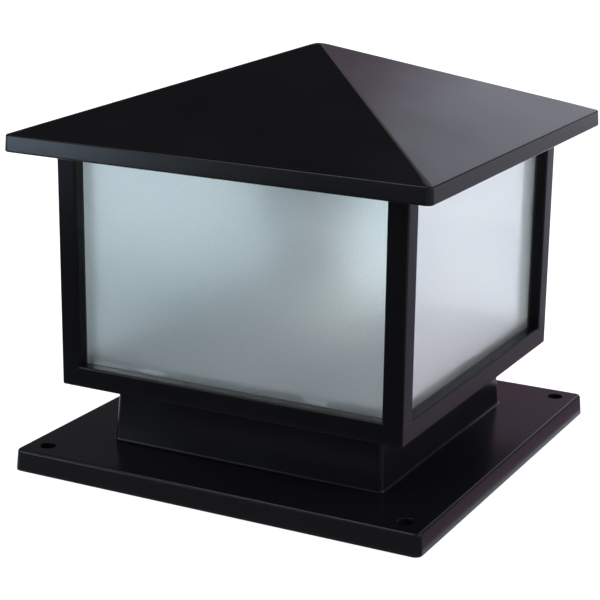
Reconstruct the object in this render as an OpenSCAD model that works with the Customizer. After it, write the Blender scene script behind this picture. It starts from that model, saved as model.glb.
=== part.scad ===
// Square post cap light for outdoor piers and deck posts: a skirted base plate with a tapered neck, a
// four-post lantern cage with frosted panes, and a lift-off pyramid roof over a screw-in lamp.
// Millimetres, +Z up. The origin is the middle of the base plate's underside. The front of the light
// faces -Y, and its right side +X.

/* [Base] */
// Width of the base plate at its foot
base_w = 250; // [240:1:260]
// Height of the base plate's skirt
base_h = 12.5; // [11:0.5:16]
// How much narrower the plate is at its top edge
base_draft = 1.8; // [0.5:0.1:3]
// Distance between the fixing holes, both ways
fixing_pitch = 222; // [216:1:226]
// Diameter of a fixing hole
fixing_d = 9; // [7:0.5:11]
// Width of the neck where it meets the plate
neck_foot_w = 169; // [168:1:176]
// Width of the neck under the lantern
neck_top_w = 164; // [162:1:168]
// Height of the neck above the plate
neck_h = 36; // [34:0.5:44]

/* [Lantern] */
// Outside width of the lantern cage
cage_w = 209; // [208:0.5:212]
// Height of the cage, from the tray's underside to the top of the top ring
cage_h = 141.5; // [140:0.5:150]
// Width of the cage's posts and rails, seen from the front
bar_w = 12; // [11.5:0.1:13]
// Depth of the posts and rails behind their face
bar_depth = 6.3; // [6:0.1:6.5]
// Thickness of a pane
pane_t = 3; // [2.8:0.1:3.2]
// Thickness of the tape between pane and frame
tape_t = 1; // [0.8:0.1:1.2]

/* [Roof] */
// Width of the roof at the foot of its fascia
eave_w = 250; // [248:0.5:254]
// Height of the fascia
eave_h = 9.2; // [8.6:0.1:10]
// How much narrower the fascia is at its top edge
eave_draft = 1.2; // [0.5:0.1:2]
// How far the fascia hangs below the top of the cage
eave_drop = 8.2; // [7.8:0.1:8.6]
// Rise of the four slopes to the point where they would meet
roof_rise = 45; // [43:0.5:50]
// Thickness of the cast roof
roof_t = 3; // [2.6:0.1:3.2]

/* [Lamp] */
// Diameter of the lamp's globe
globe_d = 60; // [55:1:65]
// Length of the lamp from tip to crown
lamp_len = 110; // [105:1:115]
// Pitch of the lamp cap's thread
lamp_pitch = 3.629; // [3.629]

/* [Hidden] */

eps = 0.01;
paint = [0.06, 0.06, 0.07];
steel = [0.72, 0.73, 0.75];
brass_col = [0.80, 0.66, 0.36];
rubber_col = [0.12, 0.12, 0.12];

// Levels, from the ground up
deck_t = 4;
neck_z = base_h;
tray_z = base_h + neck_h;
floor_t = 3.5;
floor_z = tray_z + floor_t;
window_z = tray_z + bar_w;
cage_top = tray_z + cage_h;
ring_z = cage_top - bar_w;
flange_t = 3;
eave_z = cage_top - eave_drop;
slope_z = eave_z + eave_h;
apex_z = slope_z + roof_rise;

// Half widths of the cage, from its face inwards
cage_r = cage_w / 2;
bar_back = cage_r - bar_depth;
glass_out = bar_back - tape_t;
glass_in = glass_out - pane_t;
window_r = cage_r - bar_w;
slot = 0.3;

// Thread and clearance sizes
play = 0.05;
m3 = 1.5;
m4 = 2;
m5 = 2.5;

// ---------------------------------------------------------------- shared shapes

module box(low, high) {
    translate(low) cube(high - low);
}

// Square ring between two half widths
module square_ring(outer, inner, z0, z1) {
    difference() {
        box([-outer, -outer, z0], [outer, outer, z1]);
        box([-inner, -inner, z0 - eps], [inner, inner, z1 + eps]);
    }
}

// Copies round the four sides, the first at the front
module each_side() {
    for (turn = [0:90:270])
        rotate(turn) children();
}

// Copies at the four corners of a square of half width d
module each_corner(d) {
    for (sx = [-1, 1], sy = [-1, 1])
        translate([sx * d, sy * d, 0]) children();
}

module bore(r, z0, z1) {
    translate([0, 0, z0 - eps]) cylinder(r = r, h = z1 - z0 + 2 * eps, $fn = 48);
}

module disc(r, z0, z1) {
    translate([0, 0, z0]) cylinder(r = r, h = z1 - z0, $fn = 48);
}

// A round corner piece: radius r0 at its foot, r1 at its top, its top edge rounded by round_r
module corner_piece(r0, r1, h, round_r) {
    arc = [for (a = [0:22.5:90]) [r1 - round_r + round_r * cos(a), h - round_r + round_r * sin(a)]];
    rotate_extrude($fn = 32) polygon(concat([[0, 0], [r0, 0]], arc, [[0, h]]));
}

// A square block with round corners and drafted sides
module drafted_block(w0, w1, h, corner_r, round_r) {
    hull()
        each_corner(w0 / 2 - corner_r)
            corner_piece(corner_r, corner_r - (w0 - w1) / 2, h, round_r);
}

// A pan-head screw standing on z, its head above and its shank below
module pan_screw(r, head_r, head_h, len, slot_w = 0) {
    difference() {
        union() {
            disc(head_r, 0, head_h);
            disc(r, -len, eps);
        }
        if (slot_w > 0)
            box([-head_r, -slot_w / 2, head_h * 0.5], [head_r, slot_w / 2, head_h + 1]);
        if (slot_w == 0)
            cross_recess(head_h, head_r * 0.55);
    }
}

// The cross recess in a screw head
module cross_recess(head_h, reach) {
    for (turn = [0, 90])
        rotate(turn) box([-reach, -0.5, head_h * 0.4], [reach, 0.5, head_h + 1]);
}

// ---------------------------------------------------------------- base

wall = 4;
neck_hollow = neck_top_w / 2 - wall;
tray_screw_at = 62;
boss_h = 10;
foot_fillet = 2;
gasket_out = 76;
gasket_in = 70;
gasket_t = 2;
grommet_x = 38;
grommet_y = 58;
grommet_r = 8;

module base_casting() {
    color(paint)
        difference() {
            union() {
                difference() {
                    drafted_block(base_w, base_w - base_draft, base_h, 4, 1.6);
                    plate_hollow();
                }
                translate([0, 0, neck_z - eps])
                    drafted_block(neck_foot_w, neck_top_w, neck_h + eps, 5, 0.2);
                foot_fillet_ring();
                each_corner(fixing_pitch / 2)
                    disc(fixing_d / 2 + 5, 0, base_h - 1);
            }
            box([-neck_hollow, -neck_hollow, -1], [neck_hollow, neck_hollow, tray_z - deck_t - boss_h]);
            neck_ceiling();
            each_corner(fixing_pitch / 2)
                bore(fixing_d / 2, -1, base_h + 1);
            each_corner(tray_screw_at)
                bore(m5 + play, tray_z - deck_t - boss_h + 2, tray_z + 1);
            translate([grommet_x, grommet_y, 0])
                bore(grommet_r, tray_z - deck_t - 1, tray_z + 1);
            square_ring(gasket_out, gasket_in, tray_z - gasket_t, tray_z + 1);
        }
}

// The hollow under the plate, between its skirt and the neck's wall
module plate_hollow() {
    square_ring(base_w / 2 - wall - 1, neck_foot_w / 2, -1, base_h - deck_t);
}

// The upper part of the neck's hollow, a cross that leaves a block in each corner for the tray's screws
module neck_ceiling() {
    between = tray_screw_at - 6.5;
    for (turn = [0, 90])
        rotate(turn)
            box([-neck_hollow, -between, tray_z - deck_t - boss_h - eps],
                [neck_hollow, between, tray_z - deck_t]);
}

// The cast fillet where the neck meets the plate, in three steps of an arc
module foot_fillet_ring() {
    for (a = [15, 40, 65]) {
        rise = foot_fillet * (1 - cos(a));
        reach = foot_fillet * (1 - sin(a));
        translate([0, 0, neck_z - eps])
            linear_extrude(rise + eps)
                rounded_square(neck_foot_w / 2 + reach, 5 + reach);
    }
}

// A square with round corners, half width r
module rounded_square(r, corner_r) {
    square([2 * r, 2 * (r - corner_r)], center = true);
    square([2 * (r - corner_r), 2 * r], center = true);
    for (sx = [-1, 1], sy = [-1, 1])
        translate([sx * (r - corner_r), sy * (r - corner_r)]) circle(corner_r, $fn = 48);
}

module neck_gasket() {
    color(rubber_col)
        square_ring(gasket_out, gasket_in, tray_z - gasket_t, tray_z);
}

module cable_grommet() {
    flange = 2;
    color(rubber_col)
        translate([grommet_x, grommet_y, 0])
            difference() {
                union() {
                    disc(grommet_r, tray_z - deck_t - flange, floor_z + flange);
                    disc(grommet_r + 3, tray_z - deck_t - flange, tray_z - deck_t);
                    disc(grommet_r + 3, floor_z, floor_z + flange);
                }
                bore(4.5, tray_z - deck_t - flange, floor_z + flange);
            }
}

// ---------------------------------------------------------------- cage

post_screw_at = cage_r - 3.9;
clip_at = 50;
clip_screw_r = glass_in - 4.2;
foot_x = 36;
block_y = 58;
block_screw_x = 6;
stud_x = 36;
stud_y = 30;
lug_z = floor_z + 2;

module frame_tray() {
    floor_r = cage_r - 2;
    color(paint)
        difference() {
            union() {
                box([-floor_r, -floor_r, tray_z], [floor_r, floor_r, floor_z]);
                difference() {
                    square_ring(cage_r, bar_back, tray_z, window_z);
                    trim_corners(tray_z, window_z);
                }
            }
            each_corner(tray_screw_at)
                bore(m5 + 0.3, tray_z, floor_z);
            each_corner(post_screw_at) {
                bore(m3 + 0.2, tray_z, window_z);
                bore(2.8, tray_z - 1, tray_z + 2.5);
            }
            each_side()
                for (x = [-clip_at, clip_at])
                    translate([x, -clip_screw_r, 0]) bore(m3 + play, tray_z, floor_z);
            for (x = [-foot_x, foot_x])
                translate([x, 0, 0]) bore(m4 + play, tray_z, floor_z);
            for (x = [-block_screw_x, block_screw_x])
                translate([x, block_y, 0]) bore(m3 + play, tray_z, floor_z);
            translate([stud_x, stud_y, 0])
                bore(m4 + play, tray_z, floor_z);
            translate([grommet_x, grommet_y, 0])
                bore(grommet_r, tray_z, floor_z);
        }
}

// Takes the sharp vertical edge off the cage's four corners, as a small round
module trim_corners(z0, z1) {
    edge_r = 1;
    each_side()
        translate([cage_r - edge_r, cage_r - edge_r, z0 - 1])
            difference() {
                cube([edge_r + 1, edge_r + 1, z1 - z0 + 2]);
                translate([0, 0, -1]) cylinder(r = edge_r, h = z1 - z0 + 4, $fn = 32);
            }
}

// One corner post, an angle with its outer edge rounded; turn 0 is the back right corner
module corner_post(turn) {
    color(paint)
        rotate(turn)
            difference() {
                box([window_r, window_r, window_z], [cage_r, cage_r, ring_z]);
                box([window_r - 1, window_r - 1, window_z - 1], [bar_back, bar_back, ring_z + 1]);
                trim_corners(window_z, ring_z);
                translate([post_screw_at, post_screw_at, 0]) {
                    bore(m3 + play, window_z, window_z + 14);
                    bore(m3 + play, ring_z - 14, ring_z);
                }
            }
}

module post_back_right() { corner_post(0); }
module post_back_left() { corner_post(90); }
module post_front_left() { corner_post(180); }
module post_front_right() { corner_post(270); }

flange_r = 86;

module top_ring() {
    color(paint)
        difference() {
            union() {
                difference() {
                    square_ring(cage_r, bar_back, ring_z, cage_top);
                    trim_corners(ring_z, cage_top);
                }
                square_ring(bar_back + eps, flange_r, cage_top - flange_t, cage_top);
            }
            each_corner(post_screw_at) {
                bore(m3 + 0.2, ring_z, cage_top);
                bore(2.8, cage_top - 2.5, cage_top + 1);
            }
            each_side()
                for (x = [-clip_at, clip_at])
                    translate([x, -clip_screw_r, 0]) bore(m3 + play, cage_top - flange_t, cage_top);
        }
}

module lower_post_screws() {
    color(steel)
        each_corner(post_screw_at)
            translate([0, 0, tray_z + 2.5]) mirror([0, 0, 1]) pan_screw(m3, 2.6, 2, 20);
}

module upper_post_screws() {
    color(steel)
        each_corner(post_screw_at)
            translate([0, 0, cage_top - 2.5]) pan_screw(m3, 2.6, 2, 20);
}

module tray_screws() {
    color(steel)
        each_corner(tray_screw_at)
            translate([0, 0, floor_z + 1]) pan_screw(m5, 4.5, 3, 15);
}

module tray_washers() {
    color(steel)
        each_corner(tray_screw_at)
            difference() {
                disc(5.5, floor_z, floor_z + 1);
                bore(m5 + 0.2, floor_z, floor_z + 1);
            }
}

// ---------------------------------------------------------------- glazing
// The four panes lie in a pinwheel: one end of each tucks into its corner, and the other stops at the
// face of the next pane, so all four are the same size.

pad_h = 2;
pane_z = floor_z + pad_h;
pane_top = cage_top - flange_t - 3.5;
pane_long = glass_out - 0.2;
pane_short = glass_in - slot;

module pane(turn) {
    color([0.80, 0.86, 0.88, 0.6])
        rotate(turn)
            box([-pane_short, -glass_out, pane_z], [pane_long, -glass_in, pane_top]);
}

module glazing_tape(turn) {
    color([0.75, 0.78, 0.78])
        rotate(turn)
            difference() {
                box([-pane_short, -bar_back, pane_z], [pane_long, -glass_out, pane_top]);
                box([-window_r, -bar_back - 1, window_z], [window_r, -glass_out + 1, ring_z]);
            }
}

module pane_front() { pane(0); }
module pane_right() { pane(90); }
module pane_back() { pane(180); }
module pane_left() { pane(270); }
module tape_front() { glazing_tape(0); }
module tape_right() { glazing_tape(90); }
module tape_back() { glazing_tape(180); }
module tape_left() { glazing_tape(270); }

// Rubber pads that each pane stands on
module setting_pads() {
    color(rubber_col)
        each_side()
            for (x = [-65, 65])
                box([x - 10, -glass_out, floor_z], [x + 10, -glass_in, pane_z]);
}

// A bent clip: its foot is screwed down and its leg holds the pane from inside
module glass_clip() {
    clip_t = 1;
    difference() {
        union() {
            box([-7, -glass_in, 0], [7, -glass_in + 8.5, clip_t]);
            box([-7, -glass_in, 0], [7, -glass_in + clip_t, 11]);
        }
        translate([0, -clip_screw_r, 0]) bore(m3 + 0.2, 0, clip_t);
    }
}

module clip_places() {
    each_side()
        for (x = [-clip_at, clip_at])
            translate([x, 0, 0]) children();
}

module lower_clips() {
    color(steel)
        clip_places() translate([0, 0, floor_z]) glass_clip();
}

module upper_clips() {
    color(steel)
        clip_places() translate([0, 0, cage_top - flange_t]) mirror([0, 0, 1]) glass_clip();
}

module lower_clip_screws() {
    color(steel)
        clip_places()
            translate([0, -clip_screw_r, floor_z + 1]) pan_screw(m3, 2.6, 2, 4.2);
}

module upper_clip_screws() {
    color(steel)
        clip_places()
            translate([0, -clip_screw_r, cage_top - flange_t - 1])
                mirror([0, 0, 1]) pan_screw(m3, 2.6, 2, 3.8);
}

// ---------------------------------------------------------------- roof

collar_in = cage_r + 1;
collar_out = cage_r + 5.5;
collar_z = cage_top - 10.5;
seat_z = cage_top + 2.5;
eave_top_r = (eave_w - eave_draft) / 2;
slope = roof_rise / eave_top_r;
roof_drop = roof_t * sqrt(1 + slope * slope);
thumb_z = cage_top - 6;
thumb_head_r = 4.5;
thumb_head_l = 6;
washer_t = 1;

// Height of the roof's outer face over half width r
function roof_at(r) = slope_z + (eave_top_r - r) * slope;

module roof() {
    color(paint)
        difference() {
            union() {
                difference() {
                    roof_outside();
                    roof_inside();
                }
                square_ring(collar_out, collar_in, collar_z, roof_at(collar_out) - 0.8);
                square_ring(96, 92, seat_z, roof_at(96) - 0.8);
            }
            each_side()
                translate([0, -collar_out - 1, thumb_z]) rotate([-90, 0, 0])
                    bore(m5 + play, 0, collar_out - collar_in + 2);
        }
}

// Fascia with round corners, and slopes that run to a soft point
module roof_outside() {
    corner_r = 5;
    apex_r = 12;
    hull() {
        each_corner(eave_w / 2 - corner_r)
            translate([0, 0, eave_z])
                corner_piece(corner_r, corner_r - eave_draft / 2, eave_h, 1.2);
        translate([0, 0, apex_z - apex_r * sqrt(1 + slope * slope)])
            sphere(apex_r, $fn = 32);
    }
}

// The hollow under the slopes
module roof_inside() {
    fascia_t = 3.5;
    inner = eave_w / 2 - fascia_t;
    knee_z = roof_at(inner) - roof_drop;
    box([-inner, -inner, eave_z - 1], [inner, inner, knee_z]);
    translate([0, 0, knee_z - eps])
        rotate(45)
            cylinder(r1 = inner * sqrt(2), r2 = 0, h = inner * slope, $fn = 4);
}

module roof_seal() {
    color(rubber_col)
        square_ring(98, 90, cage_top, seat_z);
}

// A knurled thumb screw with its axis along -Y, its tip short of the ring it bears on
module thumb_screw(turn) {
    tip = cage_r + 0.3;
    head = collar_out + washer_t;
    ridges = 20;
    color(brass_col)
        rotate(turn)
            translate([0, -tip, thumb_z]) rotate([90, 0, 0]) {
                disc(m5, 0, head - tip + eps);
                translate([0, 0, head - tip])
                    linear_extrude(thumb_head_l)
                        polygon([for (i = [0:2 * ridges - 1])
                            (thumb_head_r - 0.35 * (i % 2))
                                * [cos(180 * i / ridges), sin(180 * i / ridges)]]);
            }
}

module thumb_washer(turn) {
    color([0.9, 0.9, 0.88])
        rotate(turn)
            translate([0, -collar_out, thumb_z]) rotate([90, 0, 0])
                difference() {
                    disc(4.4, 0, washer_t);
                    bore(m5 + play, 0, washer_t);
                }
}

module thumb_screw_front() { thumb_screw(0); }
module thumb_screw_right() { thumb_screw(90); }
module thumb_screw_back() { thumb_screw(180); }
module thumb_screw_left() { thumb_screw(270); }
module thumb_washer_front() { thumb_washer(0); }
module thumb_washer_right() { thumb_washer(90); }
module thumb_washer_back() { thumb_washer(180); }
module thumb_washer_left() { thumb_washer(270); }

// ---------------------------------------------------------------- lampholder

strip_t = 1.5;
strip_w = 20;
bridge_r = 28;
holder_z = floor_z + 11.5;
holder_r = 21;
holder_h = 44.5;
holder_top = holder_z + holder_h;
shell_z = holder_z + 12.5;
wire_y = 13;
holder_screw_x = 12;
clamp_z = holder_z + 6;

module holder_bracket() {
    color(steel)
        difference() {
            union() {
                box([-bridge_r, -strip_w / 2, holder_z - strip_t], [bridge_r, strip_w / 2, holder_z]);
                for (s = [-1, 1]) {
                    box([s * bridge_r - strip_t / 2 - s * strip_t / 2, -strip_w / 2, floor_z],
                        [s * bridge_r + strip_t / 2 - s * strip_t / 2, strip_w / 2, holder_z]);
                    box([s * foot_x - 9.5, -strip_w / 2, floor_z],
                        [s * foot_x + 9.5, strip_w / 2, floor_z + strip_t]);
                }
            }
            for (x = [-foot_x, foot_x])
                translate([x, 0, 0]) bore(m4 + 0.2, floor_z, floor_z + strip_t);
            for (x = [-holder_screw_x, holder_screw_x])
                translate([x, 0, 0]) bore(m3 + 0.2, holder_z - strip_t, holder_z);
        }
}

module bracket_screws() {
    color(steel)
        for (x = [-foot_x, foot_x])
            translate([x, 0, floor_z + strip_t]) pan_screw(m4, 3.8, 2.5, 4.8);
}

module holder_screws() {
    color(steel)
        for (x = [-holder_screw_x, holder_screw_x])
            translate([x, 0, holder_z - strip_t]) mirror([0, 0, 1]) pan_screw(m3, 2.6, 2, 9);
}

// Glazed ceramic body with the mouth, the shell's bore, two lead holes and two clamp screw holes
module lampholder() {
    color([0.93, 0.92, 0.88])
        difference() {
            union() {
                disc(holder_r - 1, holder_z, holder_top);
                disc(holder_r, holder_z + 1, holder_top - 4);
            }
            bore(17, holder_top - 5, holder_top + 1);
            bore(14.3, shell_z, holder_top - 4.9);
            for (s = [-1, 1]) {
                translate([s * holder_screw_x, 0, 0])
                    bore(m3 + play, holder_z, holder_z + 9);
                translate([0, s * wire_y, 0])
                    bore(2, holder_z, shell_z);
                translate([0, s * wire_y, clamp_z]) rotate([-90 * s, 0, 0])
                    bore(1.8, 1, holder_r);
            }
        }
}

// The brass sleeve that takes the lamp's cap
module screw_shell() {
    color(brass_col)
        difference() {
            disc(14.2, shell_z, holder_top - 5);
            bore(13.5, shell_z + 1.2, holder_top);
            bore(9, shell_z, shell_z + 2);
        }
}

// A raised strip under the lamp's tip
module centre_contact() {
    color(brass_col) {
        box([-7.5, -2.5, shell_z], [7.5, 2.5, shell_z + 0.6]);
        disc(4, shell_z + 0.5, shell_z + 1.9);
    }
}

module lead_clamp_screws() {
    color(brass_col)
        for (s = [-1, 1])
            translate([0, s * (wire_y + lead_r + 0.1), clamp_z]) rotate([-90 * s, 0, 0])
                difference() {
                    disc(1.75, 0, 6.4);
                    box([-2, -0.4, 5.6], [2, 0.4, 7]);
                }
}

// ---------------------------------------------------------------- wiring

lead_r = 1.2;
block_w = 36;
block_d = 18;
block_h = 14;
pole_x = 12;
pole_z = floor_z + 7;
sleeve_l = 15;
clamp_y = 5;

module terminal_block() {
    color([0.90, 0.90, 0.86])
        difference() {
            translate([0, block_y, 0])
                box([-block_w / 2, -block_d / 2, floor_z], [block_w / 2, block_d / 2, floor_z + block_h]);
            for (x = [-pole_x, 0, pole_x]) {
                translate([x, block_y - block_d / 2, pole_z]) rotate([-90, 0, 0])
                    bore(2.6, -1, block_d + 1);
                for (y = [-clamp_y, clamp_y])
                    translate([x, block_y + y, 0]) bore(1.8, pole_z, floor_z + block_h + 1);
            }
            for (x = [-block_screw_x, block_screw_x])
                translate([x, block_y, 0]) {
                    bore(m3 + play, floor_z - 1, floor_z + block_h);
                    bore(2.9, floor_z + block_h - 3, floor_z + block_h + 1);
                }
        }
}

module terminal_sleeves() {
    color(brass_col)
        for (x = [-pole_x, 0, pole_x])
            difference() {
                translate([x, block_y - sleeve_l / 2, pole_z]) rotate([-90, 0, 0])
                    difference() {
                        disc(2.55, 0, sleeve_l);
                        bore(1.5, -1, sleeve_l + 1);
                    }
                for (y = [-clamp_y, clamp_y])
                    translate([x, block_y + y, 0]) bore(1.3, pole_z, pole_z + 5);
            }
}

module terminal_screws() {
    color(steel)
        for (x = [-pole_x, 0, pole_x], y = [-clamp_y, clamp_y])
            translate([x, block_y + y, 0])
                difference() {
                    union() {
                        disc(1.25, pole_z + 1.3, pole_z + 3);
                        disc(1.7, pole_z + 2.9, floor_z + block_h - 1);
                    }
                    box([-2, -0.35, floor_z + block_h - 1.8], [2, 0.35, floor_z + block_h]);
                }
}

module block_screws() {
    color(steel)
        for (x = [-block_screw_x, block_screw_x])
            translate([x, block_y, floor_z + block_h - 3]) pan_screw(m3, 2.6, 2, block_h + 0.2, 0.8);
}

module earth_stud() {
    color(brass_col)
        translate([stud_x, stud_y, 0]) disc(m4, tray_z + 0.2, floor_z + 10);
}

module earth_nut() {
    color(brass_col)
        translate([stud_x, stud_y, 0])
            difference() {
                union() {
                    disc(4.4, floor_z + 1, floor_z + 1.8);
                    translate([0, 0, floor_z + 1.8]) cylinder(r = 4, h = 3.2, $fn = 6);
                }
                bore(m4 + play, floor_z, floor_z + 6);
            }
}

// Ring lug: a flat eye under the nut and a crimped barrel towards the terminal block
module earth_lug() {
    color(steel)
        translate([stud_x, stud_y, 0])
            difference() {
                union() {
                    disc(4.4, floor_z, floor_z + 1);
                    box([-8, -2, floor_z], [0, 2, floor_z + 1]);
                    translate([-14, 0, lug_z]) rotate([0, 90, 0]) disc(2, 0, 7);
                }
                bore(m4 + play, floor_z - 1, floor_z + 2);
                translate([-15, 0, lug_z]) rotate([0, 90, 0]) bore(lead_r + 0.15, 0, 7);
            }
}

// Routes of the leads, chosen by hand
live_route = [
    [-12, 55, 59], [-12, 46, 59], [-12, 37, 57.5], [-8, 27, 56], [-2, 18, 56.5], [0, 13.6, 60],
    [0, 13, 66], [0, 13, 75]
];
neutral_route = [
    [0, 55, 59], [0, 46, 59], [3, 36, 57], [6, 24, 55.5], [6, 10, 55], [5, -2, 55],
    [2, -9.5, 56], [0, -12.8, 60], [0, -13, 66], [0, -13, 75]
];
earth_route = [
    [12, 55, 59], [12, 47, 59], [12.5, 40, 58], [14.5, 34, 56], [17.5, 30.8, 54.6], [21, 30, 54],
    [24.5, 30, 54], [28, 30, 54]
];

// A point on the smooth curve through four points
function curve_at(a, b, c, d, t) =
    0.5 * (2 * b + (c - a) * t + (2 * a - 5 * b + 4 * c - d) * t * t
        + (3 * b - a - 3 * c + d) * t * t * t);

// A route as a smooth curve, with steps points to each of its stretches
function smooth_route(p, steps) = [
    for (i = [0:len(p) - 2], k = [0:steps - 1])
        curve_at(p[max(i - 1, 0)], p[i], p[i + 1], p[min(i + 2, len(p) - 1)], k / steps),
    p[len(p) - 1]
];

function unit(v) = v / norm(v);

// A tube swept along a route; across is a direction the route never runs in
module lead(route, across) {
    sides = 8;
    path = smooth_route(route, 3);
    last = len(path) - 1;
    points = [
        for (i = [0:last])
            let (along = unit(path[min(i + 1, last)] - path[max(i - 1, 0)]),
                 u = unit(cross(along, across)), v = cross(along, u))
                for (k = [0:sides - 1])
                    path[i] + lead_r * (cos(360 * k / sides) * u + sin(360 * k / sides) * v)
    ];
    walls = [
        for (i = [0:last - 1], k = [0:sides - 1])
            let (a = i * sides + k, b = i * sides + (k + 1) % sides)
                each [[a, b + sides, b], [a, a + sides, b + sides]]
    ];
    start_cap = [for (k = [1:sides - 2]) [0, k, k + 1]];
    end_cap = [for (k = [1:sides - 2]) [last * sides, last * sides + k + 1, last * sides + k]];
    polyhedron(points, concat(walls, start_cap, end_cap));
}

module live_lead() { color([0.42, 0.24, 0.13]) lead(live_route, [1, 0, 0]); }
module neutral_lead() { color([0.12, 0.30, 0.65]) lead(neutral_route, [1, 0, 0]); }
module earth_lead() { color([0.45, 0.62, 0.15]) lead(earth_route, [0, 0, 1]); }

// ---------------------------------------------------------------- lamp

tip_z = shell_z + 2;
cap_z = tip_z + 4;
cap_top = tip_z + 25;
neck_ring_z = holder_top + 0.2;
globe_r = globe_d / 2;
globe_z = tip_z + lamp_len - globe_r;
board_z = globe_z - 11;
lamp_neck_r = 16;

// The screw cap, its rolled thread drawn as rings at the thread's pitch
module lamp_cap() {
    turns = 4.5;
    thread_top = cap_z + turns * lamp_pitch;
    steps = 8;
    wave = [
        for (i = [0:turns * steps])
            [12.7 + 0.4 * cos(360 * i / steps), cap_z + i * lamp_pitch / steps]
    ];
    color(steel)
        rotate_extrude($fn = 48)
            polygon(concat([[11.8, cap_z]], wave, [[13.1, thread_top + 0.8], [13.1, cap_top],
                [11.8, cap_top]]));
}

module lamp_insulator() {
    color([0.08, 0.07, 0.07])
        rotate_extrude($fn = 48)
            polygon([[0, tip_z + 1], [5, tip_z + 1], [11.6, cap_z - 0.3], [11.75, cap_z],
                [11.75, cap_z + 1.5], [0, cap_z + 1.5]]);
}

module lamp_tip() {
    color(steel)
        rotate_extrude($fn = 48)
            polygon([[0, tip_z], [2.5, tip_z], [4.2, tip_z + 0.6], [4.4, tip_z + 1], [0, tip_z + 1]]);
}

// Ribbed white housing between cap and globe, with the driver's hollow inside
module lamp_housing() {
    rim = board_z - 1.5;
    color([0.92, 0.92, 0.92])
        rotate_extrude($fn = 64)
            polygon([
                [11.7, cap_top - 4], [11.7, cap_top], [13.6, cap_top], [lamp_neck_r, cap_top + 3],
                [lamp_neck_r, holder_top + 6.5], [19, holder_top + 14], [24, holder_top + 26],
                [27.5, rim - 4], [28, rim], [28, board_z], [26.4, board_z], [26.4, rim],
                [22.4, holder_top + 26], [17.4, holder_top + 14], [14.4, holder_top + 6.5],
                [14.4, cap_top + 3], [10.2, cap_top], [10.2, cap_top - 4]
            ]);
}

module led_board() {
    chips = 12;
    low = board_z - 1.45;
    color([0.85, 0.85, 0.80]) {
        disc(26.3, low, low + 1.4);
        for (i = [0:chips - 1])
            rotate(360 * i / chips)
                translate([18, 0, 0]) box([-1.4, -1.75, low + 1.3], [1.4, 1.75, low + 2.1]);
    }
}

// Opal globe: a sphere shell cut level where it sits on the housing
module lamp_globe() {
    color([0.97, 0.97, 0.95, 0.9])
        difference() {
            translate([0, 0, globe_z]) sphere(globe_r, $fn = 64);
            translate([0, 0, globe_z]) sphere(globe_r - 1.5, $fn = 64);
            box([-40, -40, globe_z - 60], [40, 40, board_z]);
        }
}

module lamp_seal_ring() {
    color(rubber_col)
        difference() {
            union() {
                disc(19.5, neck_ring_z, neck_ring_z + 5);
                disc(20.5, neck_ring_z, neck_ring_z + 2);
            }
            bore(lamp_neck_r + play, neck_ring_z, neck_ring_z + 5);
        }
}

// ---------------------------------------------------------------- nodes

base_casting();
neck_gasket();
frame_tray();
tray_screws();
tray_washers();
post_front_left();
post_front_right();
post_back_right();
post_back_left();
top_ring();
lower_post_screws();
upper_post_screws();
pane_front();
pane_right();
pane_back();
pane_left();
tape_front();
tape_right();
tape_back();
tape_left();
setting_pads();
lower_clips();
upper_clips();
lower_clip_screws();
upper_clip_screws();
roof();
roof_seal();
thumb_screw_front();
thumb_screw_right();
thumb_screw_back();
thumb_screw_left();
thumb_washer_front();
thumb_washer_right();
thumb_washer_back();
thumb_washer_left();
holder_bracket();
bracket_screws();
lampholder();
holder_screws();
screw_shell();
centre_contact();
lead_clamp_screws();
terminal_block();
terminal_sleeves();
terminal_screws();
block_screws();
earth_stud();
earth_nut();
earth_lug();
live_lead();
neutral_lead();
earth_lead();
cable_grommet();
lamp_cap();
lamp_insulator();
lamp_tip();
lamp_housing();
led_board();
lamp_globe();
lamp_seal_ring();
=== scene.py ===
"""Square pier cap light: the looks of a lantern in black powder coat with frosted panes.

The script follows the light as it is put together: the base casting, the cage, the glazing, the roof and
its thumb screws, the lampholder and wiring, the lamp, and last the table it stands on and its lights.
"""

import math

import bmesh
import bpy
from mathutils import Matrix, Vector


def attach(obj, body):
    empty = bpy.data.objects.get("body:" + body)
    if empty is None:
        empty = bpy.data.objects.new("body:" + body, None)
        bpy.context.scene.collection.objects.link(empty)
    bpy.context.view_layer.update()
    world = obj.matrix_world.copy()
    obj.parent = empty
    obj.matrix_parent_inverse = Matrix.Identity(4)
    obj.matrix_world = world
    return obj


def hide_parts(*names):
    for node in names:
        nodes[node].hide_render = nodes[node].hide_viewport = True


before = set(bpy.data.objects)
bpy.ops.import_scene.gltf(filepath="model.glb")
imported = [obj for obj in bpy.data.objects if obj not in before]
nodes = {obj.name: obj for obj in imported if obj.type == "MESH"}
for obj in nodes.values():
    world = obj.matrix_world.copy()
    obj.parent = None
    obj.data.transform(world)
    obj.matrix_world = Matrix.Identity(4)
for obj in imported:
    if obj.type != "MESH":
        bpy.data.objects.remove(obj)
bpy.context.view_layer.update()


# ---------------------------------------------------------------- base casting
# A pressure casting in aluminium: a skirted plate and a tapered neck in one, with a fillet between them.
# It is sprayed with black polyester powder and stoved, which rounds every edge and leaves a soft gloss
# with a faint ripple. Four screws go through its corners into the pier.

MM = 0.001


def linear(code):
    """An sRGB hex colour as linear numbers, with an alpha of 1."""
    parts = [int(code[i:i + 2], 16) / 255 for i in (1, 3, 5)]
    return [c / 12.92 if c <= 0.04045 else ((c + 0.055) / 1.055) ** 2.4 for c in parts] + [1.0]


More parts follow.
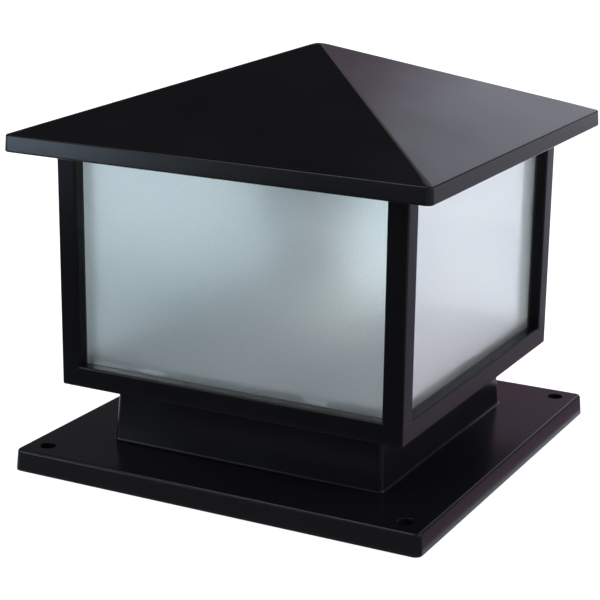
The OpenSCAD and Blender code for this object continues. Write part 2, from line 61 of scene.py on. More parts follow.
def put(tree, kind, settings=None, inputs=None):
    """Adds a node; an input is given as a value or as the socket that feeds it."""
    node = tree.nodes.new(kind)
    for name, value in (settings or {}).items():
        setattr(node, name, value)
    for name, value in (inputs or {}).items():
        if isinstance(value, bpy.types.NodeSocket):
            tree.links.new(value, node.inputs[name])
        else:
            node.inputs[name].default_value = value
    return node


def finish_called(name, surface):
    """An empty material whose surface is a Principled shader with these settings."""
    finish = bpy.data.materials.new(name)
    finish.use_nodes = True
    tree = finish.node_tree
    tree.nodes.clear()
    shader = put(tree, "ShaderNodeBsdfPrincipled", {}, surface)
    put(tree, "ShaderNodeOutputMaterial", {}, {"Surface": shader.outputs["BSDF"]})
    return finish, tree, shader


def powder_coat():
    """Stoved polyester powder: near black, with an orange-peel ripple and the finer grain of the powder.

    The grain is drawn coarser than real powder, so that it shows. The gloss drifts slowly, over 45 mm.
    """
    ripple_mm, speck_mm, cloud_mm = 3.2, 0.7, 1000 / 22
    finish, tree, shader = finish_called("black polyester powder coat, stoved", {"IOR": 1.18})
    place = put(tree, "ShaderNodeTexCoord").outputs["Object"]
    ripple = put(tree, "ShaderNodeTexNoise", {}, {
        "Vector": place, "Scale": 1 / (ripple_mm * MM), "Detail": 2.0, "Roughness": 0.4})
    speck = put(tree, "ShaderNodeTexNoise", {}, {
        "Vector": place, "Scale": 1 / (speck_mm * MM), "Detail": 1.0})
    cloud = put(tree, "ShaderNodeTexNoise", {}, {
        "Vector": place, "Scale": 1 / (cloud_mm * MM), "Detail": 3.0})
    tone = put(tree, "ShaderNodeMix", {"data_type": "RGBA"}, {
        "Factor": speck.outputs["Fac"], "A": linear("#0d0d0f"), "B": linear("#151518")})
    tree.links.new(tone.outputs["Result"], shader.inputs["Base Color"])
    gloss = put(tree, "ShaderNodeMapRange", {}, {
        "Value": cloud.outputs["Fac"], "From Min": 0.3, "From Max": 0.7, "To Min": 0.17, "To Max": 0.25})
    tree.links.new(gloss.outputs["Result"], shader.inputs["Roughness"])
    bump = put(tree, "ShaderNodeBump", {}, {
        "Height": ripple.outputs["Fac"], "Strength": 0.10, "Distance": 0.10 * MM})
    grain = put(tree, "ShaderNodeBump", {}, {
        "Height": speck.outputs["Fac"], "Strength": 0.5, "Distance": 0.07 * MM,
        "Normal": bump.outputs["Normal"]})
    tree.links.new(grain.outputs["Normal"], shader.inputs["Normal"])
    return finish


def rounded_profile(corners, steps=4):
    """A cross-section as (half width, height, plan corner), with its corners rounded.

    Each corner is (half width mm, height mm, fillet mm, plan corner mm). The plan corner grows and
    shrinks with the half width round a fillet, as on a rolled edge.
    """
    made = []
    for i, (r, z, fillet, plan) in enumerate(corners):
        if fillet == 0 or i in (0, len(corners) - 1):
            made.append((r, z, plan))
            continue
        here = Vector((r, z))
        before = (Vector(corners[i - 1][:2]) - here).normalized()
        after = (Vector(corners[i + 1][:2]) - here).normalized()
        half_angle = before.angle(after) / 2
        reach = fillet / math.tan(half_angle)
        centre = here + (before + after).normalized() * (fillet / math.sin(half_angle))
        first, last = here + before * reach - centre, here + after * reach - centre
        sweep = first.angle_signed(last)
        for k in range(steps + 1):
            arm = first.copy()
            arm.rotate(Matrix.Rotation(-sweep * k / steps, 2))
            point = centre + arm
            made.append((point.x, point.y, plan + point.x - r))
    return made


def square_lathe(name, profile, steps=6):
    """A closed skin swept round a square with round corners; its first and last rings are capped."""
    least_corner_mm, most_of_half = 0.02, 0.999
    skin = bmesh.new()
    rings = []
    for half, z, plan in profile:
        plan = max(least_corner_mm, min(plan, half * most_of_half))
        ring = []
        for turn in range(4):
            for i in range(steps + 1):
                a = math.radians(90 * i / steps)
                x, y = half - plan + plan * math.cos(a), half - plan + plan * math.sin(a)
                for _ in range(turn):
                    x, y = -y, x
                ring.append(skin.verts.new((x * MM, y * MM, z * MM)))
        rings.append(ring)
    count = len(rings[0])
    for low, high in zip(rings, rings[1:]):
        for i in range(count):
            j = (i + 1) % count
            skin.faces.new((low[i], low[j], high[j], high[i]))
    for ring in (rings[0], rings[-1]):
        skin.faces.new(ring)
    bmesh.ops.recalc_face_normals(skin, faces=skin.faces)
    return from_bmesh(name, skin)


def from_bmesh(name, skin):
    """An object in the scene made of this skin, which is used up."""
    mesh = bpy.data.meshes.new(name)
    skin.to_mesh(mesh)
    skin.free()
    piece = bpy.data.objects.new(name, mesh)
    bpy.context.scene.collection.objects.link(piece)
    return piece


def rods(name, places, sides=48):
    """Round rods along Z as one mesh; each place is (x, y, foot radius, top radius, z0, z1) in mm."""
    skin = bmesh.new()
    for x, y, r0, r1, z0, z1 in places:
        bmesh.ops.create_cone(
            skin, cap_ends=True, segments=sides, radius1=r0 * MM, radius2=r1 * MM,
            depth=(z1 - z0) * MM, matrix=Matrix.Translation((x * MM, y * MM, (z0 + z1) / 2 * MM)))
    return from_bmesh(name, skin)


def machined(piece, tool, operation="DIFFERENCE"):
    """Cuts or adds the tool's shape for good, and removes the tool."""
    step = piece.modifiers.new("tool", "BOOLEAN")
    step.object, step.operation, step.solver = tool, operation, "EXACT"
    graph = bpy.context.evaluated_depsgraph_get()
    shaped = bpy.data.meshes.new_from_object(piece.evaluated_get(graph))
    piece.modifiers.clear()
    piece.data = shaped
    bpy.data.objects.remove(tool)


def fitted(piece, body, finish, stands_for):
    """Gives a piece its finish, smooth faces with crisp creases and its body, and hides the CAD nodes it
    stands for.
    """
    crease_degrees = 32
    piece.data.materials.clear()
    piece.data.materials.append(finish)
    piece.data.shade_smooth()
    piece.data.set_sharp_from_angle(angle=math.radians(crease_degrees))
    normals = piece.modifiers.new("normals", "WEIGHTED_NORMAL")
    normals.keep_sharp = True
    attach(piece, body)
    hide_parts(*stands_for)


black_coat = powder_coat()
deck, lantern_floor = 12.5, 48.5
neck_foot, neck_top = 84.5, 82.0
gasket_in, gasket_out, gasket_seat = 70, 76, 46.5
hole_pitch, hole_r, hole_boss_r, hole_rim = 111.0, 4.5, 9.5, 0.4
tray_pitch, tray_screw_r = 62, 2.55
cable_x, cable_y, cable_r = 38, 58, 8
base = square_lathe("base_casting_finished", rounded_profile([
    (gasket_in, lantern_floor, 0, 3), (gasket_in, gasket_seat, 0, 3), (gasket_out, gasket_seat, 0, 3),
    (gasket_out, lantern_floor, 0, 3), (neck_top, lantern_floor, 0.5, 3), (neck_foot, deck, 1.5, 3.5),
    (123.9, deck, 1.8, 3.4), (125, 0, 0.6, 4.2), (120, 0, 0.5, 4), (120, 8.5, 1.5, 4),
    (neck_foot, 8.5, 1.5, 3), (neck_foot, 0, 0.5, 3), (78, 0, 0.5, 3), (78, 44.5, 2, 3),
]))
corners = [(sx, sy) for sx in (-1, 1) for sy in (-1, 1)]
machined(base, rods("bosses", [
    (sx * hole_pitch, sy * hole_pitch, hole_boss_r, hole_boss_r, 0, 10) for sx, sy in corners
] + [
    (sx * tray_pitch, sy * tray_pitch, 9.0, 8.0, 34.5, 46) for sx, sy in corners
]), "UNION")
machined(base, rods("holes", [
    (sx * hole_pitch, sy * hole_pitch, hole_r, hole_r, -1, deck + 1) for sx, sy in corners
] + [
    (sx * tray_pitch, sy * tray_pitch, tray_screw_r, tray_screw_r, 30, 50) for sx, sy in corners
] + [(cable_x, cable_y, cable_r, cable_r, 40, 50)]))
machined(base, rods("hole rims", [
    (sx * hole_pitch, sy * hole_pitch, hole_r - hole_rim, hole_r + hole_rim, deck - 0.6, deck + 0.2)
    for sx, sy in corners]))
fitted(base, "lantern", black_coat, ["base_casting"])


# ---------------------------------------------------------------- cage
# Tray, four posts and top ring are aluminium castings, screwed together through the ends of the posts.
# They are coated after assembly, so that the powder hides the joints, and every edge comes out round.

face, back_of_bar, window, flange = 104.5, 98.2, 92.5, 86.0
tray_low, tray_floor, window_low, window_high, flange_low, cage_top = 48.5, 52.0, 60.5, 178.0, 187.0, 190.0


def in_cage(x, y, z):
    """True inside the metal of tray, posts or ring; millimetres."""
    across, along = max(abs(x), abs(y)), min(abs(x), abs(y))
    if z < tray_floor:
        return True
    if z < window_low:
        return across > back_of_bar
    if z < window_high:
        return across > back_of_bar and along > window
    if z < flange_low:
        return across > back_of_bar
    return across > flange


def square_solid(planes_xy, planes_z, inside):
    """The skin of the cells between planes that inside() says are full."""
    skin = bmesh.new()
    found = {}
    sizes = (planes_xy, planes_xy, planes_z)

    def corner(index):
        if index not in found:
            found[index] = skin.verts.new([sizes[k][index[k]] * MM for k in range(3)])
        return found[index]

    def full(cell):
        if any(not 0 <= cell[k] < len(sizes[k]) - 1 for k in range(3)):
            return False
        return inside(*[(sizes[k][cell[k]] + sizes[k][cell[k] + 1]) / 2 for k in range(3)])

    for i in range(len(planes_xy) - 1):
        for j in range(len(planes_xy) - 1):
            for k in range(len(planes_z) - 1):
                if not full((i, j, k)):
                    continue
                for axis in range(3):
                    for side in (0, 1):
                        beyond = [i, j, k]
                        beyond[axis] += 1 if side else -1
                        if full(tuple(beyond)):
                            continue
                        u, v = [a for a in range(3) if a != axis]
                        loop = []
                        for du, dv in ((0, 0), (1, 0), (1, 1), (0, 1)):
                            index = [i, j, k]
                            index[axis] += side
                            index[u] += du
                            index[v] += dv
                            loop.append(corner(tuple(index)))
                        skin.faces.new(loop)
    bmesh.ops.recalc_face_normals(skin, faces=skin.faces)
    return skin


def on_outside(edge):
    """True where an edge lies on the cage's outer faces and isn't flat."""
    near_mm, least_turn = 0.01, 1.0
    ends = [v.co / MM for v in edge.verts]
    outer = all(abs(max(abs(p.x), abs(p.y)) - face) < near_mm for p in ends)
    return outer and len(edge.link_faces) == 2 and edge.calc_face_angle() > least_turn


edge_round = 1.1
planes = sorted({s * r for s in (-1, 1) for r in (face, back_of_bar, window, flange)})
cage = square_solid(planes, [tray_low, tray_floor, window_low, window_high, flange_low, cage_top], in_cage)
bmesh.ops.bevel(cage, geom=[e for e in cage.edges if on_outside(e)], offset=edge_round * MM, segments=4,
                profile=0.5, affect="EDGES", clamp_overlap=True)
whole_cage = from_bmesh("cage", cage)
post_screws, counterbore_r = 100.6, 2.8
machined(whole_cage, rods("counterbores", [
    (sx * post_screws, sy * post_screws, counterbore_r, counterbore_r, z0, z1)
    for sx, sy in corners for z0, z1 in ((40, 51), (187.5, 195))
] + [(cable_x, cable_y, cable_r, cable_r, 40, 55)]))

joint_inset = 0.02
joint_low, joint_high = (window_low + joint_inset) * MM, (window_high - joint_inset) * MM
cage_parts = {
    "frame_tray": (("z", joint_low, -1),),
    "top_ring": (("z", joint_high, 1),),
}
for name, sx, sy in (("post_front_left", -1, -1), ("post_front_right", 1, -1),
                     ("post_back_right", 1, 1), ("post_back_left", -1, 1)):
    cage_parts[name] = (("z", joint_low, 1), ("z", joint_high, -1), ("x", 0, sx), ("y", 0, sy))
for name, cuts in cage_parts.items():
    skin = bmesh.new()
    skin.from_mesh(whole_cage.data)
    for axis, at, keep in cuts:
        normal = Vector([1.0 if a == axis else 0.0 for a in "xyz"])
        cut = bmesh.ops.bisect_plane(
            skin, geom=[*skin.verts, *skin.edges, *skin.faces], dist=1e-7, plane_co=normal * at,
            plane_no=normal, clear_outer=keep < 0, clear_inner=keep > 0)
        rim = [g for g in cut["geom_cut"] if isinstance(g, bmesh.types.BMEdge)]
        if rim:
            bmesh.ops.holes_fill(skin, edges=rim, sides=0)
    bmesh.ops.recalc_face_normals(skin, faces=skin.faces)
    fitted(from_bmesh(name + "_finished", skin), "lantern", black_coat, [name])
bpy.data.objects.remove(whole_cage)


# ---------------------------------------------------------------- glazing
# Four panes of 3 mm float glass, acid-frosted on their inner face and left smooth outside, with ground
# edges. Each is bedded on foam tape against the back of the bars and held by bent clips.


def frosted_glass():
    """Frosted float glass: a milky body with the green of glass in it, under a polished face.

    The grain is drawn coarser than a real etch, so that it shows. A faint wash is about half a pane wide.
    """
    grain_mm, wash_mm = 0.9, 1000 / 9
    finish, tree, shader = finish_called("float glass, acid-frosted inside", {
        "IOR": 1.5, "Roughness": 0.38, "Transmission Weight": 0.92,
        "Coat Weight": 1.0, "Coat Roughness": 0.02, "Coat IOR": 2.1,
    })
    place = put(tree, "ShaderNodeTexCoord").outputs["Object"]
    grain = put(tree, "ShaderNodeTexNoise", {}, {
        "Vector": place, "Scale": 1 / (grain_mm * MM), "Detail": 2.0})
    wash = put(tree, "ShaderNodeTexNoise", {}, {
        "Vector": place, "Scale": 1 / (wash_mm * MM), "Detail": 2.0})
    both = put(tree, "ShaderNodeMix", {"data_type": "FLOAT"}, {
        "Factor": 0.7, "A": wash.outputs["Fac"], "B": grain.outputs["Fac"]})
    spread = put(tree, "ShaderNodeMapRange", {}, {
        "Value": both.outputs["Result"], "From Min": 0.4, "From Max": 0.6})
    tone = put(tree, "ShaderNodeMix", {"data_type": "RGBA"}, {
        "Factor": spread.outputs["Result"], "A": linear("#e6f1f3"), "B": linear("#fdffff")})
    tree.links.new(tone.outputs["Result"], shader.inputs["Base Color"])
    return finish


frosted = frosted_glass()
SIDES = ("front", "right", "back", "left")
pane_short, pane_long, glass_out, glass_in, pane_low, pane_high = 93.9, 97.0, 97.2, 94.2, 54.0, 183.5
ground_edge = 0.35
for turn, side in enumerate(SIDES):
    skin = bmesh.new()
    bmesh.ops.create_cube(skin, size=1.0)
    for v in skin.verts:
        v.co = Vector((
            (-pane_short if v.co.x < 0 else pane_long) * MM,
            (-glass_out if v.co.y < 0 else -glass_in) * MM,
            (pane_low if v.co.z < 0 else pane_high) * MM))
    bmesh.ops.bevel(skin, geom=skin.edges[:], offset=ground_edge * MM, segments=2, affect="EDGES",
                    profile=0.5)
    bmesh.ops.rotate(skin, verts=skin.verts, matrix=Matrix.Rotation(math.radians(90 * turn), 3, "Z"))
    fitted(from_bmesh(f"pane_{side}_finished", skin), "lantern", frosted, [f"pane_{side}"])


# ---------------------------------------------------------------- roof
# One casting: a fascia with drafted faces, four slopes that meet in crisp hips, and inside it a collar
# that fits round the cage and a rib that sits on the seal. Same black powder as the rest.

eave, slope_foot, peak = 181.8, 191.0, 236.0
eave_top = 124.4
pitch = (peak - slope_foot) / eave_top
tip_r = 13.0
tip_centre = peak - tip_r * math.sqrt(1 + pitch * pitch)
hip_r, hip_opens_at, hip_opening = 1.5, 114, 0.22
shell_upright = 3.19


def under_slope(r):
    """Height of the roof's inner face over half width r, millimetres."""
    return slope_foot + (eave_top - r) * pitch - shell_upright


tip = []
for k in range(1, 6):
    lean = math.atan(pitch) * k / 5
    r = tip_r * math.sin(lean)
    tip.append((r, tip_centre + tip_r * math.cos(lean), min(r, hip_r)))
hips = [(r, slope_foot + (eave_top - r) * pitch, hip_r + max(0.0, r - hip_opens_at) * hip_opening)
        for r in (60, 110, 117, 121)]
skirt = rounded_profile([
    (121, slope_foot + (eave_top - 121) * pitch, 0, 3), (eave_top, slope_foot, 1.1, 3.4),
    (125, eave, 0.9, 3.8), (121.5, eave, 0.6, 3), (121.5, under_slope(121.5), 2, 3),
    (110, under_slope(110), 1, 2), (110, 179.5, 0.5, 2), (105.5, 179.5, 0.5, 1),
    (105.5, under_slope(105.5), 1, 1), (96, under_slope(96), 1, 1), (96, 192.5, 0.4, 1),
    (92, 192.5, 0.4, 1), (92, under_slope(92), 1, 1), (3, under_slope(3), 0, 1),
])
roof = square_lathe("roof_finished", tip + hips + skirt[1:])
thumb_z, thumb_hole_r, past_collar = 184.0, 2.6, 115
for along_x in (False, True):
    tool = rods("screw holes", [(0, 0, thumb_hole_r, thumb_hole_r, -past_collar, past_collar)])
    tool.data.transform(Matrix.Translation((0, 0, thumb_z * MM)) @ Matrix.Rotation(
        math.radians(90), 4, "Y" if along_x else "X"))
    machined(roof, tool)
fitted(roof, "roof", black_coat, ["roof"])


# ---------------------------------------------------------------- small metal
# Screws, washers and clips are steel with a bright zinc plate; the thumb screws, terminals, contacts and
# earth parts are turned or pressed from brass, which has dulled a little.


def plated_steel():
    """Electroplated zinc: pale, slightly blue, with a cloudy sheen."""
    cloud_mm = 2.5
    finish, tree, shader = finish_called("steel, bright zinc plate", {"Metallic": 1.0})
    place = put(tree, "ShaderNodeTexCoord").outputs["Object"]
    cloud = put(tree, "ShaderNodeTexNoise", {}, {
        "Vector": place, "Scale": 1 / (cloud_mm * MM), "Detail": 4.0})
    tone = put(tree, "ShaderNodeMix", {"data_type": "RGBA"}, {
        "Factor": cloud.outputs["Fac"], "A": linear("#a9adb3"), "B": linear("#cfd2d4")})
    tree.links.new(tone.outputs["Result"], shader.inputs["Base Color"])
    gloss = put(tree, "ShaderNodeMapRange", {}, {
        "Value": cloud.outputs["Fac"], "To Min": 0.38, "To Max": 0.55})
    tree.links.new(gloss.outputs["Result"], shader.inputs["Roughness"])
    return finish


def dull_brass():
    """Turned brass: warm yellow, browner where it has tarnished, with fine tool marks."""
    patch_mm, mark_mm = 4, 0.25
    finish, tree, shader = finish_called("brass, turned", {"Metallic": 1.0})
    place = put(tree, "ShaderNodeTexCoord").outputs["Object"]
    patch = put(tree, "ShaderNodeTexNoise", {}, {
        "Vector": place, "Scale": 1 / (patch_mm * MM), "Detail": 5.0})
    tone = put(tree, "ShaderNodeMix", {"data_type": "RGBA"}, {
        "Factor": patch.outputs["Fac"], "A": linear("#a87b3a"), "B": linear("#dcb663")})
    tree.links.new(tone.outputs["Result"], shader.inputs["Base Color"])
    gloss = put(tree, "ShaderNodeMapRange", {}, {
        "Value": patch.outputs["Fac"], "To Min": 0.42, "To Max": 0.22})
    tree.links.new(gloss.outputs["Result"], shader.inputs["Roughness"])
    marks = put(tree, "ShaderNodeTexNoise", {}, {
        "Vector": place, "Scale": 1 / (mark_mm * MM), "Detail": 1.0})
    bump = put(tree, "ShaderNodeBump", {}, {
        "Height": marks.outputs["Fac"], "Strength": 0.15, "Distance": 0.05 * MM})
    tree.links.new(bump.outputs["Normal"], shader.inputs["Normal"])
    return finish


def dressed(names, finish, edge_mm=0.0):
    """Finishes CAD nodes as they are: welded skins, eased edges and even shading."""
    crease_degrees = 40
    for name in names:
        piece = nodes[name]
        piece.data.materials.clear()
        piece.data.materials.append(finish)
        weld = piece.modifiers.new("weld", "WELD")
        weld.merge_threshold = 0.001 * MM
        if edge_mm:
            edge = piece.modifiers.new("edge", "BEVEL")
            edge.width, edge.segments, edge.limit_method = edge_mm * MM, 2, "ANGLE"
            edge.angle_limit = math.radians(crease_degrees)
            normals = piece.modifiers.new("normals", "WEIGHTED_NORMAL")
            normals.keep_sharp = True


zinc, brass = plated_steel(), dull_brass()
dressed(["tray_screws", "tray_washers", "lower_post_screws", "upper_post_screws", "lower_clips",
         "upper_clips", "lower_clip_screws", "upper_clip_screws", "holder_bracket", "bracket_screws",
         "holder_screws", "terminal_screws", "block_screws", "earth_lug"], zinc, 0.15)
dressed(["screw_shell", "centre_contact", "lead_clamp_screws", "terminal_sleeves", "earth_stud",
         "earth_nut"] + [f"thumb_screw_{side}" for side in SIDES], brass, 0.15)


# ---------------------------------------------------------------- rubber, tape and nylon
# Gaskets, seals, pads and the grommet are black EPDM with a dry bloom. The glazing tape is closed-cell foam,
# drawn dark grey as painted shade for the recess between the bars and the glass. The washers under the thumb
# screws are moulded nylon.


def soft_plastic(name, dark, light, grain_mm, roughness):
    """A dyed polymer with a fine moulded or cellular grain."""
    grain_depth_mm = 0.05
    finish, tree, shader = finish_called(name, {"IOR": 1.5, "Roughness": roughness})
    place = put(tree, "ShaderNodeTexCoord").outputs["Object"]
    grain = put(tree, "ShaderNodeTexNoise", {}, {
        "Vector": place, "Scale": 1 / (grain_mm * MM), "Detail": 3.0})
    tone = put(tree, "ShaderNodeMix", {"data_type": "RGBA"}, {
        "Factor": grain.outputs["Fac"], "A": linear(dark), "B": linear(light)})
    tree.links.new(tone.outputs["Result"], shader.inputs["Base Color"])
    bump = put(tree, "ShaderNodeBump", {}, {
        "Height": grain.outputs["Fac"], "Strength": 0.3, "Distance": grain_depth_mm * MM})
    tree.links.new(bump.outputs["Normal"], shader.inputs["Normal"])
    return finish


dressed(["neck_gasket", "roof_seal", "setting_pads", "cable_grommet", "lamp_seal_ring"],
        soft_plastic("EPDM rubber, moulded", "#141414", "#222222", 0.8, 0.62), 0.3)
# The tape's dark grey is painted shade: it stands for the shade in the reveal between bar and glass.
dressed([f"tape_{side}" for side in SIDES],
        soft_plastic("closed-cell foam tape, dark as painted shade", "#232426", "#343538", 0.5, 0.8))
dressed([f"thumb_washer_{side}" for side in SIDES],
        soft_plastic("nylon, moulded", "#d8d5cb", "#e6e4dc", 1.5, 0.4), 0.12)


# ---------------------------------------------------------------- lampholder and wiring
# The holder is glazed electrical porcelain on a folded steel strip. The terminal block is ivory
# polyamide. Single leads in PVC run to the holder and to the earth stud.

# The glaze gives a sharp shine over a cream body that is slightly uneven.
speckle_mm = 3
porcelain, porcelain_tree, porcelain_shader = finish_called("electrical porcelain, glazed", {
    "IOR": 1.54, "Roughness": 0.14, "Coat Weight": 0.6, "Coat Roughness": 0.05})
speckle = put(porcelain_tree, "ShaderNodeTexNoise", {}, {
    "Vector": put(porcelain_tree, "ShaderNodeTexCoord").outputs["Object"],
    "Scale": 1 / (speckle_mm * MM), "Detail": 3.0})
cream = put(porcelain_tree, "ShaderNodeMix", {"data_type": "RGBA"}, {
    "Factor": speckle.outputs["Fac"], "A": linear("#e2dccd"), "B": linear("#f3efe6")})
porcelain_tree.links.new(cream.outputs["Result"], porcelain_shader.inputs["Base Color"])
dressed(["lampholder"], porcelain, 0.5)
dressed(["terminal_block"],
        soft_plastic("polyamide, moulded", "#d5cfbc", "#e2ddcd", 1.2, 0.45), 0.25)
dressed(["live_lead"],
        soft_plastic("PVC insulation, brown", "#3a2012", "#4b2b18", 1.0, 0.4))
dressed(["neutral_lead"],
        soft_plastic("PVC insulation, blue", "#123a78", "#1b4c96", 1.0, 0.4))

# The lead's upper side is its yellow stripe and the rest is green, with the soft shine of PVC.
stripe_above = 0.25
striped, striped_tree, striped_shader = finish_called("PVC insulation, green with a yellow stripe", {
    "IOR": 1.5, "Roughness": 0.4})
upward = put(striped_tree, "ShaderNodeSeparateXYZ", {}, {
    "Vector": put(striped_tree, "ShaderNodeNewGeometry").outputs["Normal"]})
stripe = put(striped_tree, "ShaderNodeMath", {"operation": "GREATER_THAN"}, {
    0: upward.outputs["Z"], 1: stripe_above})
green_yellow = put(striped_tree, "ShaderNodeMix", {"data_type": "RGBA"}, {
    "Factor": stripe.outputs["Value"], "A": linear("#2f7d32"), "B": linear("#e3cf2a")})
striped_tree.links.new(green_yellow.outputs["Result"], striped_shader.inputs["Base Color"])
dressed(["earth_lead"], striped)


# ---------------------------------------------------------------- lamp
# A screw-in LED lamp: nickel-plated cap, black glass insulator, white moulded housing and an opal
# polycarbonate globe over a white board with yellow chips.

# Nickel gives a warm grey mirror, hazy where the plating is uneven.
haze_mm = 3
nickel, nickel_tree, nickel_shader = finish_called("nickel-plated cap", {"Metallic": 1.0})
haze = put(nickel_tree, "ShaderNodeTexNoise", {}, {
    "Vector": put(nickel_tree, "ShaderNodeTexCoord").outputs["Object"],
    "Scale": 1 / (haze_mm * MM), "Detail": 4.0})
plate = put(nickel_tree, "ShaderNodeMix", {"data_type": "RGBA"}, {
    "Factor": haze.outputs["Fac"], "A": linear("#bcb6a8"), "B": linear("#d5d0c4")})
nickel_tree.links.new(plate.outputs["Result"], nickel_shader.inputs["Base Color"])
polish = put(nickel_tree, "ShaderNodeMapRange", {}, {
    "Value": haze.outputs["Fac"], "To Min": 0.16, "To Max": 0.30})
nickel_tree.links.new(polish.outputs["Result"], nickel_shader.inputs["Roughness"])
# Opal plastic gives a milky white ball, with only a faint swirl in it.
swirl_mm = 9
opal, opal_tree, opal_shader = finish_called("opal polycarbonate", {
    "IOR": 1.58, "Roughness": 0.6, "Transmission Weight": 0.95})
swirl = put(opal_tree, "ShaderNodeTexNoise", {}, {
    "Vector": put(opal_tree, "ShaderNodeTexCoord").outputs["Object"],
    "Scale": 1 / (swirl_mm * MM), "Detail": 2.0})
milk = put(opal_tree, "ShaderNodeMix", {"data_type": "RGBA"}, {
    "Factor": swirl.outputs["Fac"], "A": linear("#f9f8f4"), "B": linear("#fefdfb")})
opal_tree.links.new(milk.outputs["Result"], opal_shader.inputs["Base Color"])
dressed(["lamp_cap", "lamp_tip"], nickel, 0.1)
dressed(["lamp_insulator"], soft_plastic(
    "black glass insulator", "#0a0809", "#141112", 1.0, 0.15), 0.1)
dressed(["lamp_housing"], soft_plastic(
    "white moulded housing", "#e6e6e2", "#f1f1ee", 1.4, 0.38), 0.3)
dressed(["lamp_globe"], opal, 0.2)

# The resist gives a plain white with a slight sheen, and the phosphor a flat yellow on each chip.
resist, resist_tree, resist_shader = finish_called("white solder resist and yellow phosphor", {
    "IOR": 1.5, "Roughness": 0.35})
below_chip_tops_mm, mottle_mm = 0.4, 1.4
chip_level = max(v.co.z for v in nodes["led_board"].data.vertices) - below_chip_tops_mm * MM
on_board = put(resist_tree, "ShaderNodeTexCoord").outputs["Object"]
height = put(resist_tree, "ShaderNodeSeparateXYZ", {}, {"Vector": on_board})
on_chip = put(resist_tree, "ShaderNodeMath", {"operation": "GREATER_THAN"}, {
    0: height.outputs["Z"], 1: chip_level})
mottle = put(resist_tree, "ShaderNodeTexNoise", {}, {
    "Vector": on_board, "Scale": 1 / (mottle_mm * MM), "Detail": 2.0})
white = put(resist_tree, "ShaderNodeMix", {"data_type": "RGBA"}, {
    "Factor": mottle.outputs["Fac"], "A": linear("#dfe2df"), "B": linear("#eef0ee")})
chips = put(resist_tree, "ShaderNodeMix", {"data_type": "RGBA"}, {
    "Factor": on_chip.outputs["Value"], "A": white.outputs["Result"], "B": linear("#e9c22f")})
resist_tree.links.new(chips.outputs["Result"], resist_shader.inputs["Base Color"])
dressed(["led_board"], resist)


# ---------------------------------------------------------------- table and surroundings
# A pale table in white surroundings. The camera, the gloss and the glass see both brighter than they light
# the lantern, so that the background comes out plain white, without a shadow.


def glow_rays(tree):
    """1 for rays from the camera and for those that mirrors and glass send on."""
    path = put(tree, "ShaderNodeLightPath")
    seen = put(tree, "ShaderNodeMath", {"operation": "MAXIMUM"}, {
        0: path.outputs["Is Camera Ray"], 1: path.outputs["Is Glossy Ray"]})
    return put(tree, "ShaderNodeMath", {"operation": "MAXIMUM"}, {
        0: seen.outputs["Value"], 1: path.outputs["Is Transmission Ray"]}).outputs["Value"]


surroundings = bpy.data.worlds.new("white surroundings")
bpy.context.scene.world = surroundings
surroundings.use_nodes = True
sky = surroundings.node_tree
sky.nodes.clear()
ambient = 0.5
level = put(sky, "ShaderNodeMapRange", {}, {"Value": glow_rays(sky), "To Min": ambient, "To Max": 1.0})
glow = put(sky, "ShaderNodeBackground", {}, {
    "Color": (1, 1, 1, 1), "Strength": level.outputs["Result"]})
put(sky, "ShaderNodeOutputWorld", {}, {"Surface": glow.outputs["Background"]})

table_top = bpy.data.materials.new("pale table")
table_top.use_nodes = True
laminate = table_top.node_tree
laminate.nodes.clear()
pale = put(laminate, "ShaderNodeBsdfDiffuse", {}, {"Color": linear("#d9d9d9")})
camera_ray = put(laminate, "ShaderNodeLightPath").outputs["Is Camera Ray"]
beyond = put(laminate, "ShaderNodeMapRange", {}, {"Value": camera_ray, "To Min": 1.2, "To Max": 0.78})
lift = put(laminate, "ShaderNodeMath", {"operation": "MULTIPLY"}, {
    0: glow_rays(laminate), 1: beyond.outputs["Result"]})
tint = put(laminate, "ShaderNodeMix", {"data_type": "RGBA"}, {
    "Factor": camera_ray, "A": linear("#eaf4ff"), "B": linear("#ffffff")})
glimmer = put(laminate, "ShaderNodeEmission", {}, {
    "Color": tint.outputs["Result"], "Strength": lift.outputs["Value"]})
summed = put(laminate, "ShaderNodeAddShader")
laminate.links.new(pale.outputs["BSDF"], summed.inputs[0])
laminate.links.new(glimmer.outputs["Emission"], summed.inputs[1])
put(laminate, "ShaderNodeOutputMaterial", {}, {"Surface": summed.outputs["Shader"]})
bpy.ops.mesh.primitive_plane_add(size=14.0, location=(0, 0, -0.0002))
table = bpy.context.object
table.name = "table"
table.data.materials.append(table_top)


# ---------------------------------------------------------------- lights and cards
# One soft light stands at the front left and one at the right. Cards at even levels shape what the gloss
# reflects and what shows through the glass. They are set for the camera's view; nothing else sees them.


def soft_light(name, place, aim, size, power, colour):
    """A rectangular soft light that faces its aim and isn't seen by the camera."""
    lamp = bpy.data.lights.new(name, "AREA")
    lamp.shape, lamp.size, lamp.size_y = "RECTANGLE", size[0], size[1]
    lamp.energy, lamp.color = power, linear(colour)[:3]
    holder = bpy.data.objects.new(name, lamp)
    holder.location = place
    holder.rotation_euler = (Vector(aim) - Vector(place)).to_track_quat("-Z", "Y").to_euler()
    bpy.context.scene.collection.objects.link(holder)
    holder.visible_camera = False


soft_light("front left softbox", (-0.95, -1.0, 0.42), (0, 0, 0.12), (0.55, 0.8), 6.0, "#eaf6fc")
soft_light("right softbox", (1.25, 0.1, 0.55), (0, 0, 0.12), (0.9, 0.9), 9.0, "#f8f2fa")


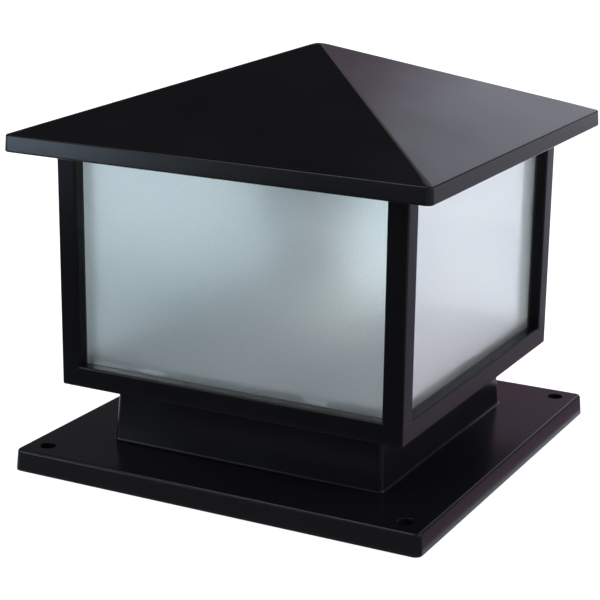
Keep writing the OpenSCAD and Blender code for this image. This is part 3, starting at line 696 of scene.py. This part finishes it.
def card(name, corners, colour, level=1.0, for_glass=False):
    """A card at an even level, seen only in gloss, or only through the glass."""
    matt = bpy.data.materials.new(name)
    matt.use_nodes = True
    tree = matt.node_tree
    tree.nodes.clear()
    even = put(tree, "ShaderNodeEmission", {}, {"Color": linear(colour), "Strength": level})
    put(tree, "ShaderNodeOutputMaterial", {}, {"Surface": even.outputs["Emission"]})
    mesh = bpy.data.meshes.new(name)
    mesh.from_pydata(corners, [], [range(len(corners))])
    mesh.materials.append(matt)
    sheet = bpy.data.objects.new(name, mesh)
    bpy.context.scene.collection.objects.link(sheet)
    sheet.visible_camera = sheet.visible_diffuse = sheet.visible_shadow = False
    sheet.visible_glossy, sheet.visible_transmission = not for_glass, for_glass


def flat_card(name, x, y, colour, level=1.0, height=0.0004, for_glass=False):
    """A card lying just above the table, over these two ranges of x and y."""
    (x0, x1), (y0, y1) = x, y
    card(name, [(x0, y0, height), (x1, y0, height), (x1, y1, height), (x0, y1, height)],
         colour, level, for_glass)


card("dark card at the back left", [(-1.0, 2.1, 0), (-2.0, -0.3, 0), (-2.0, -0.3, 1.5), (-1.0, 2.1, 1.5)],
     "#706e74")
card("darker card above it", [(-1.0, 2.1, 1.5), (-2.0, -0.3, 1.5), (-2.0, -0.3, 3.4), (-1.0, 2.1, 3.4)],
     "#454548")
card("grey card at the back", [(-0.45, 2.1, 0), (-1.0, 2.1, 0), (-1.0, 2.1, 1.5), (-0.45, 2.1, 1.5)],
     "#b196ad")
card("bright card at the back", [(0.6, 2.3, 0.5), (-0.5, 2.3, 0.5), (-0.5, 2.3, 1.7), (0.6, 2.3, 1.7)],
     "#ebeefe", 1.7)
card("strip at the front left", [(-0.82, -1.28, 0.0), (-1.2, -0.82, 0.0), (-1.2, -0.82, 0.3),
                                 (-0.82, -1.28, 0.3)], "#cbe4ff", 14.5)
card("strip overhead", [(-1.1, -0.9, 1.7), (-0.3, -0.9, 1.7), (-0.3, -0.1, 1.9), (-1.1, -0.1, 1.9)],
     "#fafaff", 10.0)
card("black card at the back right", [(2.2, 2.3, 0.25), (0.75, 2.3, 0.25), (0.75, 2.3, 1.5), (2.2, 2.3, 1.5)],
     "#000000")
flat_card("black card on the table", (-1.6, 0.35), (-1.1, -0.2), "#101c1e")
flat_card("second black card on the table", (-0.76, 0.2), (-2.4, -1.1), "#101c1e")
flat_card("grey card before the base", (-1.6, 0.35), (-0.2, -0.128), "#c8c8ce")
flat_card("shade beside the base", (0.128, 0.16), (-0.128, 0.3), "#b48eab")
flat_card("near card on the table", (0.16, 1.6), (-0.128, 0.3), "#bdb8cb")
flat_card("middle card on the table", (0.128, 1.6), (0.3, 0.56), "#d3cee2")
flat_card("far card on the table", (0.128, 1.6), (0.56, 1.5), "#f3eeff")
flat_card("grey card left of the glass", (-0.16, -1.4), (-0.9, 0.7), "#c6d8df", 1.0, 0.0006, for_glass=True)
card("black card standing at the left", [(-0.9, -0.9, 0.001), (-0.9, 0.8, 0.001), (-0.9, 0.8, 1.3),
                                         (-0.9, -0.9, 1.3)], "#000000", for_glass=True)
flat_card("bright card behind the glass", (-0.14, 0.9), (0.14, 1.0), "#fafdfd", 3.2, 0.0008, for_glass=True)


# ---------------------------------------------------------------- camera
# A long lens with a small shift, fitted to the edges of the plate, cage and roof as they were seen. Its
# three axes are written as unit vectors.

camera_data = bpy.data.cameras.new("camera")
camera_data.sensor_width = 36.0
camera_data.lens = 106.089
camera_data.shift_x, camera_data.shift_y = -0.085115, 0.016742
camera = bpy.data.objects.new("camera", camera_data)
right = Vector((0.896937, 0.441693, 0.020281))
up = Vector((-0.14308, 0.246537, 0.958513))
back = Vector((0.418369, -0.862628, 0.284326))
turn_to = Matrix((right, up, back)).transposed().to_4x4()
camera.matrix_world = Matrix.Translation((0.448587, -0.877063, 0.372801)) @ turn_to
camera_data.clip_start = 0.05
bpy.context.scene.collection.objects.link(camera)
bpy.context.scene.camera = camera
bpy.context.scene.view_settings.view_transform = "Standard"
